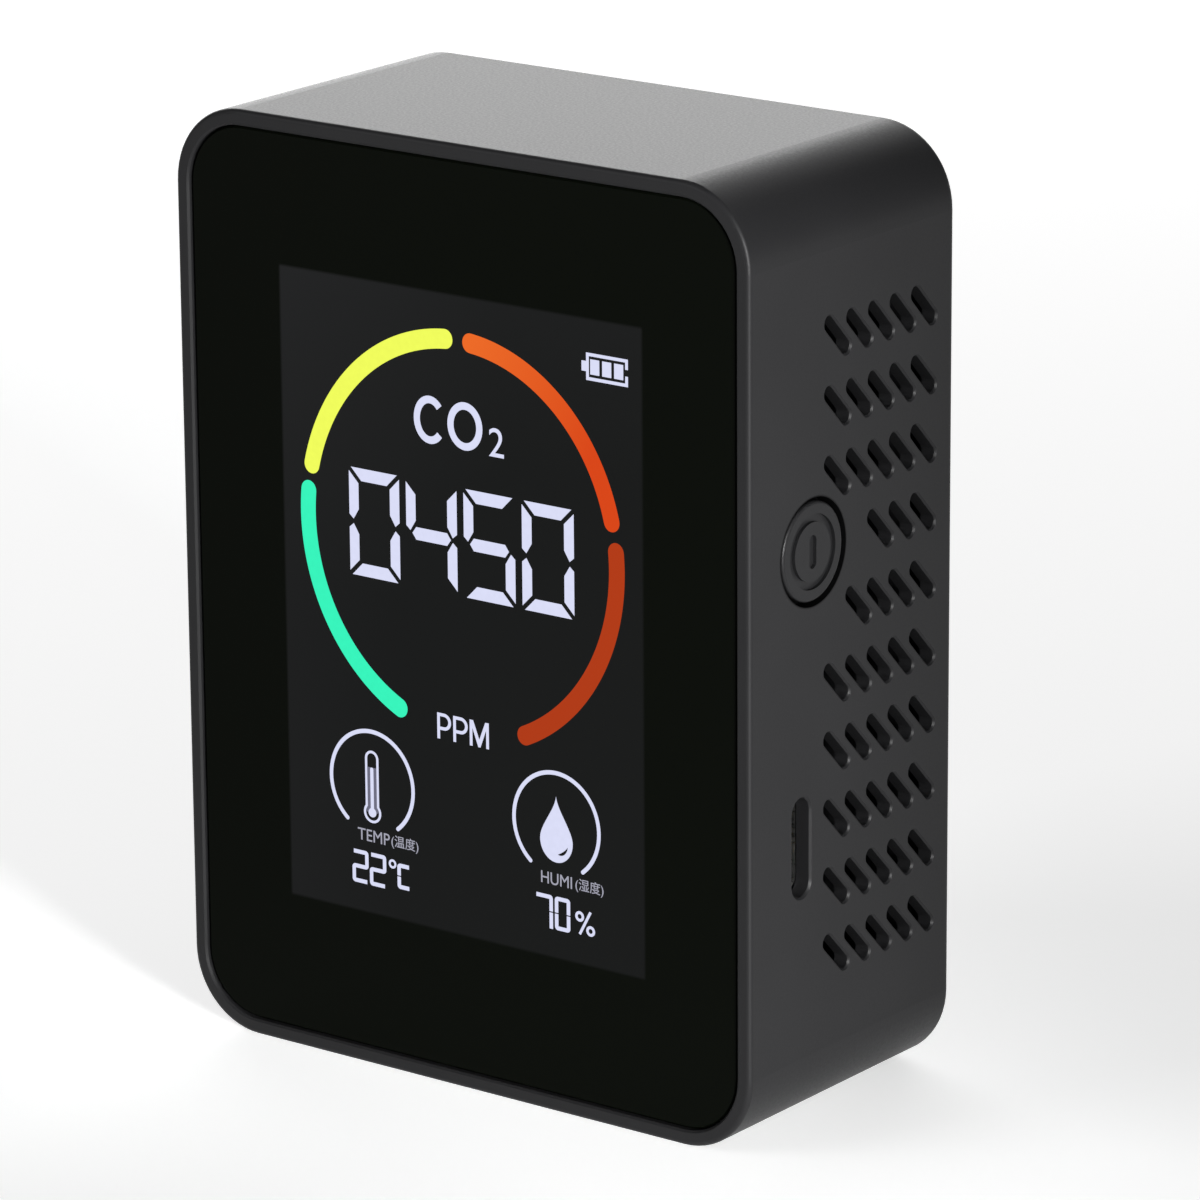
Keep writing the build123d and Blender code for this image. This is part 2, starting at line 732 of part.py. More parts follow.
# ---- Rear cover and its four screws ----
cover_inset = wall + cover_clearance
with BuildPart() as rear_cover:
    block(
        (width - 2 * cover_inset, cover_thickness, height - 2 * cover_inset),
        cover_y, (0, middle_z), corner_radius - cover_inset,
    )
    chamfer(rear_cover.faces().sort_by(Axis.Y)[-1].edges(), length=cover_edge_chamfer)
    with Locations(*[facing_front(back_y, x, z) for x, z in corner_places]):
        Cone(
            cover_screw_head_radius + screw_hole_clearance + screw_setback,
            boss_hole_radius + screw_hole_clearance,
            cover_screw_head_height + screw_setback,
            align=(Align.CENTER, Align.CENTER, Align.MIN),
            mode=Mode.SUBTRACT,
        )
    rod(
        boss_hole_radius + screw_hole_clearance,
        cover_y, cover_thickness, corner_places, Mode.SUBTRACT,
    )
finish(rear_cover, "rear_cover")

with BuildPart() as cover_screws:
    with Locations(*[facing_front(back_y - screw_setback, x, z) for x, z in corner_places]):
        add_screw(
            cover_screw_head_radius, cover_screw_head_height, True,
            boss_hole_radius - screw_clearance, cover_screw_length,
        )
finish(cover_screws, "cover_screws")
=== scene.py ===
"""Carbon dioxide monitor: finishes of the case, lens and inner pieces, and the lit marks of its display.

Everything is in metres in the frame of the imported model: +X is the right side, +Y the back, +Z up.
"""

import json
from math import asin, cos, degrees, pi, radians, sin

import bmesh
import bpy
from mathutils import Matrix, Vector


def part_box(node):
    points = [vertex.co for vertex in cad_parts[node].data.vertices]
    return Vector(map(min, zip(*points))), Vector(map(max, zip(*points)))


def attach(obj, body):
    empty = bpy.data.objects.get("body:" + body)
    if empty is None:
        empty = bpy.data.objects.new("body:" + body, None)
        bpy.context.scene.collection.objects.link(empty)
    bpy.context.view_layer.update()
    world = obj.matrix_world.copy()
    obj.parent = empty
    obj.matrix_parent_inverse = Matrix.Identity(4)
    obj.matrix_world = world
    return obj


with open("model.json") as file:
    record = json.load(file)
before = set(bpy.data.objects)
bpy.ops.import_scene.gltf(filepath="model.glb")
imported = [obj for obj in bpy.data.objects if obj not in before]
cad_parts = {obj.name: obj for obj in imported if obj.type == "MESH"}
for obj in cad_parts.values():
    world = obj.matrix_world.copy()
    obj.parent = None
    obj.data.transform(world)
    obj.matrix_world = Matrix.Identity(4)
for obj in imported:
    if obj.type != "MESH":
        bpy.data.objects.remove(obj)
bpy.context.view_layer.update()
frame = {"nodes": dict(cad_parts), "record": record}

MM = 0.001

# ---- Places taken from the frame ----
lens_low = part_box("front_lens")[0]
film_low, film_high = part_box("display_film")
tongue_low, tongue_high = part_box("port_tongue")
button_low, button_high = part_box("power_button")

LENS_FACE = lens_low.y
MARK_SINK = 0.04 * MM
MARK_RISE = 0.02 * MM
LAYER_RISE = 0.01 * MM
FILM_BORDER = 0.6 * MM
WINDOW_LEFT = film_low.x + FILM_BORDER
WINDOW_RIGHT = film_high.x - FILM_BORDER
ARTWORK_LIFT = 0.35 * MM
WINDOW_BOTTOM = film_low.z + FILM_BORDER + ARTWORK_LIFT
WINDOW_TOP = film_high.z - FILM_BORDER
BUTTON_CENTRE = (button_low + button_high) / 2
BUTTON_GAP_RADIUS = 4.87 * MM
BUTTON_GAP_REACH = 0.36 * MM
RIGHT_WALL_INSIDE = 30 * MM


def srgb(red, green, blue):
    """A screen colour, given in 0 to 255, as the linear colour that a shader takes."""
    linear = []
    for value in (red, green, blue):
        part = value / 255
        linear.append(part / 12.92 if part <= 0.04045 else ((part + 0.055) / 1.055) ** 2.4)
    return (*linear, 1.0)


# ------------------------------------------------------------------------------------------------
# Materials
# ------------------------------------------------------------------------------------------------

class Finish:
    """A node material under construction: a Principled shader that reads Object coordinates."""

    def __init__(self, name, colour, roughness, specular=0.5, metallic=0.0):
        self.material = bpy.data.materials.new(name)
        self.material.use_nodes = True
        self.tree = self.material.node_tree
        self.shader = self.tree.nodes["Principled BSDF"]
        self.put("Base Color", colour)
        self.put("Roughness", roughness)
        self.put("Specular IOR Level", specular)
        self.put("Metallic", metallic)
        self.material.diffuse_color = colour
        self.place = self.node("ShaderNodeTexCoord").outputs["Object"]

    def node(self, kind, **settings):
        made = self.tree.nodes.new(kind)
        for key, value in settings.items():
            setattr(made, key, value)
        return made

    def link(self, output, target):
        self.tree.links.new(output, target)

    def put(self, socket, value):
        self.shader.inputs[socket].default_value = value

    def mapped(self, scale=(1, 1, 1), turn=(0, 0, 0), shift=(0, 0, 0)):
        """Object coordinates after a Mapping node."""
        mapping = self.node("ShaderNodeMapping")
        mapping.inputs["Scale"].default_value = scale
        mapping.inputs["Rotation"].default_value = turn
        mapping.inputs["Location"].default_value = shift
        self.link(self.place, mapping.inputs["Vector"])
        return mapping.outputs["Vector"]

    def noise(self, grain, detail=2.0, roughness=0.5, scale=(1, 1, 1)):
        """Noise whose lumps are about grain metres across."""
        texture = self.node("ShaderNodeTexNoise")
        texture.inputs["Scale"].default_value = 1 / grain
        texture.inputs["Detail"].default_value = detail
        texture.inputs["Roughness"].default_value = roughness
        self.link(self.mapped(scale), texture.inputs["Vector"])
        return texture.outputs["Fac"]

    def spread(self, value, low, high, start=0.0, stop=1.0):
        """Maps a value that runs from start to stop onto low to high."""
        scale = self.node("ShaderNodeMapRange")
        scale.inputs["From Min"].default_value = start
        scale.inputs["From Max"].default_value = stop
        scale.inputs["To Min"].default_value = low
        scale.inputs["To Max"].default_value = high
        self.link(value, scale.inputs["Value"])
        return scale.outputs["Result"]

    def sum(self, first, second, operation="ADD"):
        maths = self.node("ShaderNodeMath", operation=operation)
        for number, value in enumerate((first, second)):
            if isinstance(value, (int, float)):
                maths.inputs[number].default_value = value
            else:
                self.link(value, maths.inputs[number])
        return maths.outputs["Value"]

    def colours(self, value, stops):
        """A colour ramp from a value: stops are (position, colour)."""
        ramp = self.node("ShaderNodeValToRGB")
        elements = ramp.color_ramp.elements
        while len(elements) < len(stops):
            elements.new(0.5)
        for element, (position, colour) in zip(elements, stops):
            element.position = position
            element.color = colour
        self.link(value, ramp.inputs["Fac"])
        return ramp.outputs["Color"]

    def rough(self, value, low, high):
        self.link(self.spread(value, low, high, 0.3, 0.7), self.shader.inputs["Roughness"])

    def bump(self, height, distance, strength=1.0):
        """Relief of the given depth in metres, from a height that runs from 0 to 1."""
        relief = self.node("ShaderNodeBump")
        relief.inputs["Distance"].default_value = distance
        relief.inputs["Strength"].default_value = strength
        self.link(height, relief.inputs["Height"])
        self.link(relief.outputs["Normal"], self.shader.inputs["Normal"])

    def axis(self, letter):
        """One coordinate of the surface point, in metres."""
        split = self.node("ShaderNodeSeparateXYZ")
        self.link(self.place, split.inputs["Vector"])
        return split.outputs[letter]


def shade(colour, factor):
    """A colour made lighter or darker."""
    return (*[part * factor for part in colour[:3]], 1.0)


def button_gap_shadow(finish):
    """1 over the open surface, near 0 in the narrow gap round the power button, where no light falls."""
    from_axis = finish.node("ShaderNodeVectorMath", operation="LENGTH")
    shift = (0, -BUTTON_CENTRE.y, -BUTTON_CENTRE.z)
    finish.link(finish.mapped(scale=(0, 1, 1), shift=shift), from_axis.inputs[0])
    off_gap = finish.sum(
        finish.sum(from_axis.outputs["Value"], BUTTON_GAP_RADIUS, "SUBTRACT"), 0, "ABSOLUTE",
    )
    clear = finish.spread(off_gap, 0.1, 1, BUTTON_GAP_REACH * 0.4, BUTTON_GAP_REACH)
    other_side = finish.spread(finish.axis("X"), 1, 0, RIGHT_WALL_INSIDE, RIGHT_WALL_INSIDE + MM)
    return finish.sum(clear, other_side, "MAXIMUM")


def moulded(
    name, colour, roughness=0.45, specular=0.14, grain=0.25 * MM, relief=0.004 * MM, gap_shadow=False,
):
    """Injection-moulded plastic: a fine spark-eroded grain and faint flow marks."""
    finish = Finish(name, colour, roughness, specular)
    fine = finish.noise(grain, 3.0, 0.6)
    broad = finish.noise(14 * MM, 2.0)
    tint = finish.colours(broad, [(0.3, shade(colour, 0.94)), (0.7, shade(colour, 1.06))])
    if gap_shadow:
        open_surface = button_gap_shadow(finish)
        shaded = finish.node("ShaderNodeVectorMath", operation="SCALE")
        finish.link(tint, shaded.inputs[0])
        finish.link(open_surface, shaded.inputs["Scale"])
        tint = shaded.outputs["Vector"]
        finish.link(
            finish.spread(open_surface, 0.01, specular), finish.shader.inputs["Specular IOR Level"],
        )
    finish.link(tint, finish.shader.inputs["Base Color"])
    finish.rough(fine, roughness - 0.05, roughness + 0.05)
    finish.bump(fine, relief)
    return finish.material


def polished(name, colour, roughness=0.12, specular=0.5):
    """Smooth plastic or resin with a trace of unevenness in its gloss."""
    finish = Finish(name, colour, roughness, specular)
    smear = finish.noise(9 * MM, 3.0)
    finish.rough(smear, roughness * 0.8, roughness * 1.3)
    finish.bump(finish.noise(3 * MM), 0.002 * MM)
    return finish.material


def metal(name, colour, roughness, streak=(1, 1, 1), grain=0.4 * MM):
    """Plated or drawn metal, with streaks along the axis that streak stretches."""
    finish = Finish(name, colour, roughness, metallic=1.0)
    lines = finish.noise(grain, 4.0, 0.6, streak)
    finish.link(
        finish.colours(lines, [(0.3, shade(colour, 0.85)), (0.7, colour)]),
        finish.shader.inputs["Base Color"],
    )
    finish.rough(lines, roughness * 0.7, roughness * 1.4)
    finish.bump(lines, 0.003 * MM)
    return finish.material


def laminate(name, mask_colour, copper_colour):
    """Circuit board: solder mask over tracks, which show as slightly raised lighter lines."""
    finish = Finish(name, mask_colour, 0.35, 0.4)
    tracks = finish.node("ShaderNodeTexBrick", offset=0.5, squash=1.0)
    tracks.inputs["Scale"].default_value = 1 / (8 * MM)
    tracks.inputs["Mortar Size"].default_value = 0.03
    tracks.inputs["Mortar Smooth"].default_value = 0.2
    finish.link(finish.mapped(turn=(pi / 2, 0, 0)), tracks.inputs["Vector"])
    finish.link(
        finish.colours(tracks.outputs["Fac"], [(0.0, mask_colour), (1.0, copper_colour)]),
        finish.shader.inputs["Base Color"],
    )
    finish.rough(finish.noise(2 * MM), 0.28, 0.42)
    finish.bump(tracks.outputs["Fac"], 0.02 * MM)
    return finish.material


def woven(name, colour, pitch=0.3 * MM):
    """Fine cloth, tape or membrane: two crossed sets of threads."""
    finish = Finish(name, colour, 0.85, 0.2)
    threads = []
    for direction in ("X", "Z"):
        wave = finish.node("ShaderNodeTexWave", wave_type="BANDS", bands_direction=direction)
        wave.inputs["Scale"].default_value = 0.314 / pitch
        wave.inputs["Distortion"].default_value = 0.4
        finish.link(finish.place, wave.inputs["Vector"])
        threads.append(wave.outputs["Fac"])
    cloth = finish.sum(threads[0], threads[1], "MULTIPLY")
    finish.link(
        finish.colours(cloth, [(0.0, shade(colour, 0.75)), (1.0, colour)]),
        finish.shader.inputs["Base Color"],
    )
    finish.bump(cloth, 0.03 * MM)
    return finish.material


def smoked_lens():
    """The lens: black, with the display window behind it showing as a faint lighter field."""
    finish = Finish("smoked_lens", srgb(5, 6.5, 4), 0.1, 0.02)
    soft = 0.15 * MM
    across = finish.axis("X")
    up = finish.axis("Z")
    edges = [
        finish.spread(across, 0, 1, WINDOW_LEFT - soft, WINDOW_LEFT + soft),
        finish.spread(across, 1, 0, WINDOW_RIGHT - soft, WINDOW_RIGHT + soft),
        finish.spread(up, 0, 1, WINDOW_BOTTOM - soft, WINDOW_BOTTOM + soft),
        finish.spread(up, 1, 0, WINDOW_TOP - soft, WINDOW_TOP + soft),
    ]
    field = edges[0]
    for edge in edges[1:]:
        field = finish.sum(field, edge, "MULTIPLY")
    slope = finish.sum(
        finish.spread(across, 0.5, 0, WINDOW_LEFT, WINDOW_LEFT + 26 * MM),
        finish.spread(up, 0, 0.5, WINDOW_TOP - 30 * MM, WINDOW_TOP),
    )
    grey = finish.colours(slope, [(0.25, srgb(20, 19.5, 22)), (1.0, srgb(31, 30.5, 33))])
    finish.link(grey, finish.shader.inputs["Emission Color"])
    finish.link(field, finish.shader.inputs["Emission Strength"])
    finish.rough(finish.noise(12 * MM, 3.0), 0.07, 0.13)
    finish.bump(finish.noise(6 * MM), 0.0015 * MM)
    return finish.material


def lit(name, start_colour, stop_colour=None, start=(0, 0), stop=(0, 0)):
    """A lit mark of the display; two colours blend from start to stop, each an (x, z) place."""
    finish = Finish(name, srgb(8, 8, 8), 0.3, 0.05)
    if stop_colour is None:
        cell = finish.noise(0.5 * MM, 1.0)
        glow = finish.colours(cell, [(0.3, shade(start_colour, 0.97)), (0.7, start_colour)])
    else:
        run = Vector((stop[0] - start[0], 0, stop[1] - start[1]))
        along = finish.node("ShaderNodeVectorMath", operation="DOT_PRODUCT")
        finish.link(finish.mapped(shift=(-start[0], 0, -start[1])), along.inputs[0])
        along.inputs[1].default_value = run / run.length_squared
        glow = finish.colours(along.outputs["Value"], [(0.0, start_colour), (1.0, stop_colour)])
    finish.link(glow, finish.shader.inputs["Emission Color"])
    finish.put("Emission Strength", 1.0)
    finish.material.diffuse_color = start_colour
    return finish.material


CASE_COLOUR = srgb(25, 25, 26)

finishes = {
    "case_plastic": moulded("case_plastic", CASE_COLOUR, gap_shadow=True),
    "button_plastic": moulded("button_plastic", CASE_COLOUR, roughness=0.4, gap_shadow=True),
    "cover_plastic": moulded("cover_plastic", CASE_COLOUR, roughness=0.5, relief=0.008 * MM),
    "lens_black": smoked_lens(),
    "black_tape": woven("black_tape", srgb(20, 20, 20)),
    "display_film": polished("display_film", srgb(24, 24, 26), 0.3),
    "display_glass": polished("display_glass", srgb(40, 42, 44), 0.05),
    "light_guide": polished("light_guide", srgb(225, 226, 230), 0.2),
    "tray_plastic": moulded("tray_plastic", srgb(18, 18, 18)),
    "ribbon_film": polished("ribbon_film", srgb(150, 92, 28), 0.3),
    "socket_plastic": moulded("socket_plastic", srgb(206, 200, 186)),
    "board_laminate": laminate("board_laminate", srgb(14, 24, 20), srgb(22, 38, 30)),
    "sensor_laminate": laminate("sensor_laminate", srgb(18, 62, 36), srgb(28, 86, 50)),
    "screw_steel": metal("screw_steel", srgb(190, 190, 188), 0.3),
    "screw_black": metal("screw_black", srgb(46, 46, 48), 0.4),
    "chip_resin": moulded("chip_resin", srgb(24, 24, 25), roughness=0.6),
    "can_steel": metal("can_steel", srgb(186, 186, 184), 0.32, streak=(0.1, 1, 1)),
    "inductor_ferrite": moulded("inductor_ferrite", srgb(52, 52, 54), roughness=0.7),
    "capacitor_ceramic": moulded("capacitor_ceramic", srgb(150, 122, 88), roughness=0.5),
    "pin_brass": metal("pin_brass", srgb(226, 190, 110), 0.28),
    "chamber_brass": metal("chamber_brass", srgb(214, 180, 104), 0.35, streak=(0.08, 1, 1)),
    "filter_cloth": woven("filter_cloth", srgb(228, 228, 228), pitch=0.18 * MM),
    "buzzer_plastic": moulded("buzzer_plastic", srgb(20, 20, 20)),
    "plunger_plastic": moulded("plunger_plastic", srgb(204, 204, 198)),
    "cell_foil": metal("cell_foil", srgb(150, 152, 156), 0.38),
    "white_tape": woven("white_tape", srgb(224, 222, 214)),
    "lead_red": moulded("lead_red", srgb(150, 22, 20)),
    "lead_black": moulded("lead_black", srgb(20, 20, 20)),
    "plug_plastic": moulded("plug_plastic", srgb(214, 212, 204)),
}

for part in frame["record"]["subparts"]:
    solid = frame["nodes"][part["node"]]
    solid.data.materials.clear()
    solid.data.materials.append(finishes[part["material_slot"]])

WHITE = srgb(219, 222, 248)
lit_white = lit("lit_white", WHITE)
lit_label = lit("lit_label", srgb(165, 165, 180))
lit_dim = lit("lit_dim", srgb(108, 108, 128))
lit_yellow = lit("lit_yellow", srgb(241, 253, 90))
lit_green = lit("lit_green", srgb(50, 245, 188))


# ------------------------------------------------------------------------------------------------
# Marks of the display
# ------------------------------------------------------------------------------------------------

STAND_UP = Matrix.Rotation(pi / 2, 3, "X")


def add_piece(name, mesh, material):
    """Makes a piece of the case from a mesh that is already in place."""
    piece = bpy.data.objects.new(name, mesh)
    bpy.context.scene.collection.objects.link(piece)
    mesh.materials.clear()
    mesh.materials.append(material)
    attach(piece, "case")
    return piece


def thicken(shape, layer):
    """Turns a flat shape at the lens face into a closed plate that stands a trace proud of it."""
    bmesh.ops.remove_doubles(shape, verts=shape.verts[:], dist=0.002 * MM)
    flat = shape.faces[:]
    grown = bmesh.ops.extrude_face_region(shape, geom=flat)
    raised = [item for item in grown["geom"] if isinstance(item, bmesh.types.BMVert)]
    rise = MARK_SINK + MARK_RISE + layer * LAYER_RISE
    bmesh.ops.translate(shape, verts=raised, vec=(0, -rise, 0))
    seat = (0, LENS_FACE + MARK_SINK, ARTWORK_LIFT)
    bmesh.ops.translate(shape, verts=shape.verts[:], vec=seat)
    bmesh.ops.recalc_face_normals(shape, faces=shape.faces[:])


def to_mesh(name, shape):
    mesh = bpy.data.meshes.new(name)
    shape.to_mesh(mesh)
    shape.free()
    return mesh


def band(shape, centre, radii, width, start, stop, steps=64):
    """Adds a flat arc with round ends; radii are (across, up), angles in degrees from +X towards +Z."""
    mean = (radii[0] + radii[1]) / 2
    strip = bmesh.new()
    direction = Vector((cos(radians(start)), 0, sin(radians(start))))
    spots = [strip.verts.new(direction * (mean + step * width / 2)) for step in (-1, 0, 1)]
    line = [strip.edges.new(pair) for pair in zip(spots, spots[1:])]
    cap(strip, spots[1], spots[2], start > stop)
    swept = bmesh.ops.spin(
        strip, geom=spots + line, cent=(0, 0, 0), axis=(0, -1, 0),
        angle=radians(stop - start), steps=steps, use_duplicate=False,
    )
    last = [item for item in swept["geom_last"] if isinstance(item, bmesh.types.BMVert)]
    last.sort(key=lambda spot: spot.co.length)
    cap(strip, last[1], last[2], start < stop)
    bmesh.ops.scale(strip, verts=strip.verts[:], vec=(radii[0] / mean, 1, radii[1] / mean))
    bmesh.ops.translate(strip, verts=strip.verts[:], vec=(centre[0], 0, centre[1]))
    merge(shape, strip)


def cap(strip, middle, outer, forward):
    """Adds a half disc to the end of a band, spun from its outer corner round to the inner one."""
    middle_copy = strip.verts.new(middle.co)
    outer_copy = strip.verts.new(outer.co)
    spoke = strip.edges.new((middle_copy, outer_copy))
    bmesh.ops.spin(
        strip, geom=[middle_copy, outer_copy, spoke], cent=middle.co, axis=(0, -1, 0),
        angle=pi if forward else -pi, steps=14, use_duplicate=False,
    )


def merge(shape, other):
    """Adds the geometry of another shape."""
    mesh = bpy.data.meshes.new("merge")
    other.to_mesh(mesh)
    other.free()
    shape.from_mesh(mesh)
    bpy.data.meshes.remove(mesh)


def panel(shape, left, right, bottom, top, corner=0.0):
    """Adds a flat rectangle, with its corners rounded if corner is given."""
    plate = bmesh.new()
    bmesh.ops.create_grid(plate, x_segments=1, y_segments=1, size=0.5)
    bmesh.ops.rotate(plate, verts=plate.verts[:], matrix=STAND_UP)
    bmesh.ops.scale(plate, verts=plate.verts[:], vec=(right - left, 1, top - bottom))
    if corner:
        bmesh.ops.bevel(
            plate, geom=plate.verts[:], affect="VERTICES", offset=corner, segments=6,
            profile=0.5, material=-1,
        )
    centre = ((left + right) / 2, 0, (bottom + top) / 2)
    bmesh.ops.translate(plate, verts=plate.verts[:], vec=centre)
    merge(shape, plate)


def polygon(shape, corners):
    """Adds a flat polygon with the given (x, z) corners."""
    shape.faces.new([shape.verts.new((x, 0, z)) for x, z in corners])


# Bars of the reading's seven-bar characters
DIGIT_WIDTH = 5.89 * MM
DIGIT_HEIGHT = 10.27 * MM
UPRIGHT = 1.1 * MM
CROSS_BAR = 1.2 * MM
CROSS_END = 0.26 * MM
UPRIGHT_END = 0.37 * MM
MIDDLE_TIP = 0.71 * MM
MIDDLE_SHOULDER = 1.15 * MM
UPRIGHT_TIP = (0.48 * MM, 0.22 * MM)
UPRIGHT_SHOULDERS = (0.62 * MM, 1.2 * MM)
BARS_LIT = {"0": "abcdef", "4": "fgbc", "5": "afgcd"}


def digit(shape, character, left, bottom):
    """Adds the lit bars of a seven-bar character; a is the top bar, then clockwise, g the middle."""
    right, top = left + DIGIT_WIDTH, bottom + DIGIT_HEIGHT
    middle = (bottom + top) / 2
    half = CROSS_BAR / 2
    for bar in BARS_LIT[character]:
        if bar in "ad":
            edge, inward = (top, -1) if bar == "a" else (bottom, 1)
            inner = edge + inward * CROSS_BAR
            polygon(shape, [
                (left + CROSS_END, edge), (right - CROSS_END, edge),
                (right - CROSS_END - CROSS_BAR, inner), (left + CROSS_END + CROSS_BAR, inner),
            ])
        elif bar == "g":
            polygon(shape, [
                (left + MIDDLE_TIP, middle), (left + MIDDLE_SHOULDER, middle + half),
                (right - MIDDLE_SHOULDER, middle + half), (right - MIDDLE_TIP, middle),
                (right - MIDDLE_SHOULDER, middle - half), (left + MIDDLE_SHOULDER, middle - half),
            ])
        else:
            outer, inward = (left, 1) if bar in "fe" else (right, -1)
            edge, down = (top, -1) if bar in "fb" else (bottom, 1)
            inner = outer + inward * UPRIGHT
            polygon(shape, [
                (outer, edge + down * UPRIGHT_END),
                (inner, edge + down * (UPRIGHT_END + UPRIGHT)),
                (inner, middle - down * UPRIGHT_SHOULDERS[1]),
                (outer + inward * UPRIGHT_TIP[0], middle - down * UPRIGHT_TIP[1]),
                (outer, middle - down * UPRIGHT_SHOULDERS[0]),
            ])


def arc(centre, radii, start, stop, steps=32):
    """(x, z) spots along an ellipse; the angles are in degrees from +X towards +Z."""
    turns = [radians(start + (stop - start) * step / steps) for step in range(steps + 1)]
    return [(centre[0] + radii[0] * cos(turn), centre[1] + radii[1] * sin(turn)) for turn in turns]


def line_mark(name, paths, width, corner=0.0, layer=0):
    """A mark drawn in lines of even width through (x, z) spots; a closed path repeats its first spot."""
    wires = bmesh.new()
    for path in paths:
        closed = path[0] == path[-1]
        spots = [
            wires.verts.new((x, LENS_FACE + MARK_SINK, z + ARTWORK_LIFT))
            for x, z in path[:len(path) - closed]
        ]
        for pair in zip(spots, spots[1:] + spots[:1] * closed):
            wires.edges.new(pair)
    if corner:
        bends = [spot for spot in wires.verts if len(spot.link_edges) == 2]
        bmesh.ops.bevel(
            wires, geom=bends, affect="VERTICES", offset=corner, segments=5, profile=0.5, material=-1,
        )
    grown = bmesh.ops.extrude_edge_only(wires, edges=wires.edges[:])
    raised = [item for item in grown["geom"] if isinstance(item, bmesh.types.BMVert)]
    rise = MARK_SINK + MARK_RISE + layer * LAYER_RISE
    bmesh.ops.translate(wires, verts=raised, vec=(0, -rise, 0))
    bmesh.ops.recalc_face_normals(wires, faces=wires.faces[:])
    piece = add_piece(name, to_mesh(name, wires), lit_white)
    line_width = piece.modifiers.new("line_width", "SOLIDIFY")
    line_width.thickness = width
    line_width.offset = 0
    line_width.use_even_offset = True


def finish_mark(name, shape, material, layer=0):
    """Thickens a flat shape and adds it as a piece; a higher layer stands in front of a lower one."""
    thicken(shape, layer)
    add_piece(name, to_mesh(name, shape), material)


def upright(curve):
    """A flat curve or text as a shape that stands up in the plane of the lens."""
    holder = bpy.data.objects.new("holder", curve)
    bpy.context.scene.collection.objects.link(holder)
    bpy.context.view_layer.update()
    settled = holder.evaluated_get(bpy.context.evaluated_depsgraph_get())
    mesh = bpy.data.meshes.new_from_object(settled)
    bpy.data.objects.remove(holder)
    shape = bmesh.new()
    shape.from_mesh(mesh)
    bpy.data.meshes.remove(mesh)
    bmesh.ops.rotate(shape, verts=shape.verts[:], matrix=STAND_UP)
    return shape


def lettering(name, words, across, up, material):
    """Flat lettering that fills a box; across is (left, right) and up is (bottom, top)."""
    curve = bpy.data.curves.new("lettering", "FONT")
    curve.body = words
    curve.resolution_u = 6
    shape = upright(curve)
    spread_x = [spot.co.x for spot in shape.verts]
    spread_z = [spot.co.z for spot in shape.verts]
    low_x, high_x = min(spread_x), max(spread_x)
    low_z, high_z = min(spread_z), max(spread_z)
    stretch = ((across[1] - across[0]) / (high_x - low_x), 1, (up[1] - up[0]) / (high_z - low_z))
    bmesh.ops.translate(shape, verts=shape.verts[:], vec=(-low_x, 0, -low_z))
    bmesh.ops.scale(shape, verts=shape.verts[:], vec=stretch)
    bmesh.ops.translate(shape, verts=shape.verts[:], vec=(across[0], 0, up[0]))
    finish_mark(name, shape, material)


# ---- Gauge ring round the reading ----
RING_CENTRE = (0.0, 52.6 * MM)
RING_RADII = (17.85 * MM, 18.85 * MM)
RING_WIDTH = 1.8 * MM
ring_orange = lit(
    "lit_orange", srgb(236, 104, 30), srgb(216, 66, 5),
    (1 * MM, 71 * MM), (15 * MM, 63 * MM),
)
ring_amber = lit(
    "lit_amber", srgb(177, 54, 3), srgb(174, 53, 3),
    (18 * MM, 55 * MM), (8 * MM, 36 * MM),
)
ring_parts = [
    ("ring_yellow", lit_yellow, "lit_yellow", 94.7, 165.9),
    ("ring_orange", ring_orange, "lit_orange", 85.4, 14.2),
    ("ring_amber", ring_amber, "lit_amber", 5.6, -66.0),
    ("ring_green", lit_green, "lit_green", 173.8, 245.8),
]
for ring_name, ring_finish, ring_slot, first, last in ring_parts:
    ring = bmesh.new()
    band(ring, RING_CENTRE, RING_RADII, RING_WIDTH, first, last)
    finish_mark(ring_name, ring, ring_finish)

# ---- Reading ----
FIRST_DIGIT_LEFT = -12.93 * MM
DIGIT_PITCH = 6.69 * MM
DIGIT_BOTTOM = 47.38 * MM
for place, character in enumerate("0450"):
    reading = bmesh.new()
    digit(reading, character, FIRST_DIGIT_LEFT + place * DIGIT_PITCH, DIGIT_BOTTOM)
    finish_mark(f"reading_digit_{place + 1}", reading, lit_white)

# ---- Gas and unit letters above and below the reading ----
GAS_Z = 63.53 * MM
GAS_LINE = 0.7 * MM
line_mark("gas_letter_c", [arc((-3.33 * MM, GAS_Z), (1.5 * MM, 1.91 * MM), 42, 318)], GAS_LINE)
line_mark("gas_letter_o", [arc((0.725 * MM, GAS_Z), (1.66 * MM, 1.91 * MM), 0, 360, 40)], GAS_LINE)
lettering("gas_letter_2", "2", (3.48 * MM, 5.17 * MM), (61.2 * MM, 63.9 * MM), lit_white)

UNIT_BOTTOM, UNIT_TOP = 33.28 * MM, 35.77 * MM
UNIT_LINE = 0.31 * MM
BOWL_HIGH = UNIT_TOP - UNIT_LINE / 2
BOWL_LOW = 34.3 * MM
BOWL_RADIUS = (BOWL_HIGH - BOWL_LOW) / 2
P_SPANS = ((-2.95 * MM, -1.34 * MM), (-1.08 * MM, 0.61 * MM))
for place, (left, right) in enumerate(P_SPANS):
    stem = left + UNIT_LINE / 2
    bend = right - UNIT_LINE / 2 - BOWL_RADIUS
    bowl = arc((bend, (BOWL_HIGH + BOWL_LOW) / 2), (BOWL_RADIUS, BOWL_RADIUS), 90, -90, 14)
    line_mark(
        f"unit_letter_p_{place + 1}",
        [[(stem, UNIT_BOTTOM), (stem, UNIT_TOP)], [(stem, BOWL_HIGH), *bowl, (stem, BOWL_LOW)]],
        UNIT_LINE,
    )

